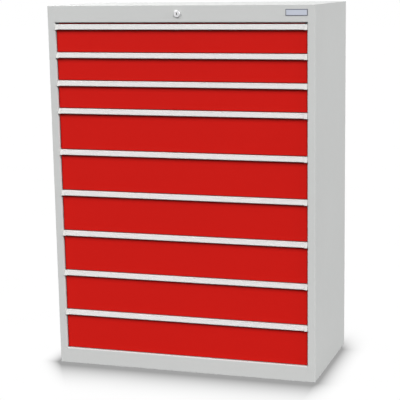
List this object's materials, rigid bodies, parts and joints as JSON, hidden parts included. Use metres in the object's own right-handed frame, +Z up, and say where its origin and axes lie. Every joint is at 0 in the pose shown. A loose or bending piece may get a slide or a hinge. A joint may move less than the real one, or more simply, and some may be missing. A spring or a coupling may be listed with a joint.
{
  "type": "drawer cabinet",
  "caption": "Floor-standing steel drawer cabinet with full-width pull-out drawers on telescopic slides, handle strips and one central lock in its head rail.",
  "frame": {"origin": "middle of the footprint, on the floor", "axes": "+X to the right seen from the front, +Y to the back, +Z up; the drawers pull out along -Y"},
  "size_m": [0.98, 0.5056, 1.32],
  "materials": {
    "carcass_paint": "light grey powder coat, fine texture, semi-matt",
    "front_red": "red powder coat, satin",
    "drawer_paint": "grey powder coat, semi-matt",
    "strip_aluminium": "anodised, satin",
    "bright_steel": "zinc plated",
    "lock_chrome": "polished",
    "guide_plastic": "moulded, matt",
    "plate_metal": "bare plate with a darker border, satin"
  },
  "bodies": {
    "carcass": {"side_panel_left": "carcass_paint", "side_panel_right": "carcass_paint", "top_panel": "carcass_paint", "base_panel": "carcass_paint", "back_panel": "carcass_paint", "head_rail": "carcass_paint", "base_rail": "carcass_paint", "posts_left": "bright_steel", "posts_right": "bright_steel", "cabinet_rails_left": "bright_steel", "cabinet_rails_right": "bright_steel", "lock_housing": "lock_chrome", "lock_nut": "bright_steel", "crank_stud": "bright_steel", "bar_guides": "guide_plastic", "rod_guides": "guide_plastic", "name_plate": "plate_metal"},
    "lock_cylinder": {"lock_cylinder": "lock_chrome", "lock_cam": "bright_steel"},
    "lock_rod": {"lock_rod": "bright_steel"},
    "lock_crank": {"lock_crank": "bright_steel"},
    "lock_bar": {"lock_bar": "bright_steel", "lock_hooks": "bright_steel"},
    "drawer_1": {"drawer_box_1": "drawer_paint", "drawer_front_1": "front_red", "handle_strip_1": "strip_aluminium"},
    "middle_rails_1": {"middle_rails_1": "bright_steel"},
    "drawer_2": {"drawer_box_2": "drawer_paint", "drawer_front_2": "front_red", "handle_strip_2": "strip_aluminium"},
    "middle_rails_2": {"middle_rails_2": "bright_steel"},
    "drawer_3": {"drawer_box_3": "drawer_paint", "drawer_front_3": "front_red", "handle_strip_3": "strip_aluminium"},
    "middle_rails_3": {"middle_rails_3": "bright_steel"},
    "drawer_4": {"drawer_box_4": "drawer_paint", "drawer_front_4": "front_red", "handle_strip_4": "strip_aluminium"},
    "middle_rails_4": {"middle_rails_4": "bright_steel"},
    "drawer_5": {"drawer_box_5": "drawer_paint", "drawer_front_5": "front_red", "handle_strip_5": "strip_aluminium"},
    "middle_rails_5": {"middle_rails_5": "bright_steel"},
    "drawer_6": {"drawer_box_6": "drawer_paint", "drawer_front_6": "front_red", "handle_strip_6": "strip_aluminium"},
    "middle_rails_6": {"middle_rails_6": "bright_steel"},
    "drawer_7": {"drawer_box_7": "drawer_paint", "drawer_front_7": "front_red", "handle_strip_7": "strip_aluminium"},
    "middle_rails_7": {"middle_rails_7": "bright_steel"},
    "drawer_8": {"drawer_box_8": "drawer_paint", "drawer_front_8": "front_red", "handle_strip_8": "strip_aluminium"},
    "middle_rails_8": {"middle_rails_8": "bright_steel"},
    "drawer_9": {"drawer_box_9": "drawer_paint", "drawer_front_9": "front_red", "handle_strip_9": "strip_aluminium"},
    "middle_rails_9": {"middle_rails_9": "bright_steel"}
  },
  "joints": [
    {"name": "lock_turn", "type": "hinge", "parent": "carcass", "child": "lock_cylinder", "pos_m": [0, -0.25, 1.2905], "axis": [0, 1, 0], "range_deg": [0, 90]},
    {"name": "lock_rod_slide", "type": "slide", "parent": "carcass", "child": "lock_rod", "axis": [-1, 0, 0], "range_m": [0, 0.01]},
    {"name": "lock_crank_turn", "type": "hinge", "parent": "carcass", "child": "lock_crank", "pos_m": [-0.451, -0.227, 1.305], "axis": [0, 1, 0], "range_deg": [0, 29]},
    {"name": "lock_bar_lift", "type": "slide", "parent": "carcass", "child": "lock_bar", "axis": [0, 0, 1], "range_m": [0, 0.01]},
    {"name": "drawer_1_slide", "type": "slide", "parent": "carcass", "child": "drawer_1", "axis": [0, -1, 0], "range_m": [0, 0.4]},
    {"name": "middle_rails_1_slide", "type": "slide", "parent": "carcass", "child": "middle_rails_1", "axis": [0, -1, 0], "range_m": [0, 0.2]},
    {"name": "drawer_2_slide", "type": "slide", "parent": "carcass", "child": "drawer_2", "axis": [0, -1, 0], "range_m": [0, 0.4]},
    {"name": "middle_rails_2_slide", "type": "slide", "parent": "carcass", "child": "middle_rails_2", "axis": [0, -1, 0], "range_m": [0, 0.2]},
    {"name": "drawer_3_slide", "type": "slide", "parent": "carcass", "child": "drawer_3", "axis": [0, -1, 0], "range_m": [0, 0.4]},
    {"name": "middle_rails_3_slide", "type": "slide", "parent": "carcass", "child": "middle_rails_3", "axis": [0, -1, 0], "range_m": [0, 0.2]},
    {"name": "drawer_4_slide", "type": "slide", "parent": "carcass", "child": "drawer_4", "axis": [0, -1, 0], "range_m": [0, 0.4]},
    {"name": "middle_rails_4_slide", "type": "slide", "parent": "carcass", "child": "middle_rails_4", "axis": [0, -1, 0], "range_m": [0, 0.2]},
    {"name": "drawer_5_slide", "type": "slide", "parent": "carcass", "child": "drawer_5", "axis": [0, -1, 0], "range_m": [0, 0.4]},
    {"name": "middle_rails_5_slide", "type": "slide", "parent": "carcass", "child": "middle_rails_5", "axis": [0, -1, 0], "range_m": [0, 0.2]},
    {"name": "drawer_6_slide", "type": "slide", "parent": "carcass", "child": "drawer_6", "axis": [0, -1, 0], "range_m": [0, 0.4]},
    {"name": "middle_rails_6_slide", "type": "slide", "parent": "carcass", "child": "middle_rails_6", "axis": [0, -1, 0], "range_m": [0, 0.2]},
    {"name": "drawer_7_slide", "type": "slide", "parent": "carcass", "child": "drawer_7", "axis": [0, -1, 0], "range_m": [0, 0.4]},
    {"name": "middle_rails_7_slide", "type": "slide", "parent": "carcass", "child": "middle_rails_7", "axis": [0, -1, 0], "range_m": [0, 0.2]},
    {"name": "drawer_8_slide", "type": "slide", "parent": "carcass", "child": "drawer_8", "axis": [0, -1, 0], "range_m": [0, 0.4]},
    {"name": "middle_rails_8_slide", "type": "slide", "parent": "carcass", "child": "middle_rails_8", "axis": [0, -1, 0], "range_m": [0, 0.2]},
    {"name": "drawer_9_slide", "type": "slide", "parent": "carcass", "child": "drawer_9", "axis": [0, -1, 0], "range_m": [0, 0.4]},
    {"name": "middle_rails_9_slide", "type": "slide", "parent": "carcass", "child": "middle_rails_9", "axis": [0, -1, 0], "range_m": [0, 0.2]}
  ],
  "couplings": [
    {"joint": "lock_turn", "follows": "lock_bar_lift", "rad_per_m": 157.07},
    {"joint": "lock_rod_slide", "follows": "lock_bar_lift", "ratio": 1},
    {"joint": "lock_crank_turn", "follows": "lock_bar_lift", "rad_per_m": 50.53},
    {"joint": "middle_rails_1_slide", "follows": "drawer_1_slide", "ratio": 0.5},
    {"joint": "middle_rails_2_slide", "follows": "drawer_2_slide", "ratio": 0.5},
    {"joint": "middle_rails_3_slide", "follows": "drawer_3_slide", "ratio": 0.5},
    {"joint": "middle_rails_4_slide", "follows": "drawer_4_slide", "ratio": 0.5},
    {"joint": "middle_rails_5_slide", "follows": "drawer_5_slide", "ratio": 0.5},
    {"joint": "middle_rails_6_slide", "follows": "drawer_6_slide", "ratio": 0.5},
    {"joint": "middle_rails_7_slide", "follows": "drawer_7_slide", "ratio": 0.5},
    {"joint": "middle_rails_8_slide", "follows": "drawer_8_slide", "ratio": 0.5},
    {"joint": "middle_rails_9_slide", "follows": "drawer_9_slide", "ratio": 0.5}
  ]
}
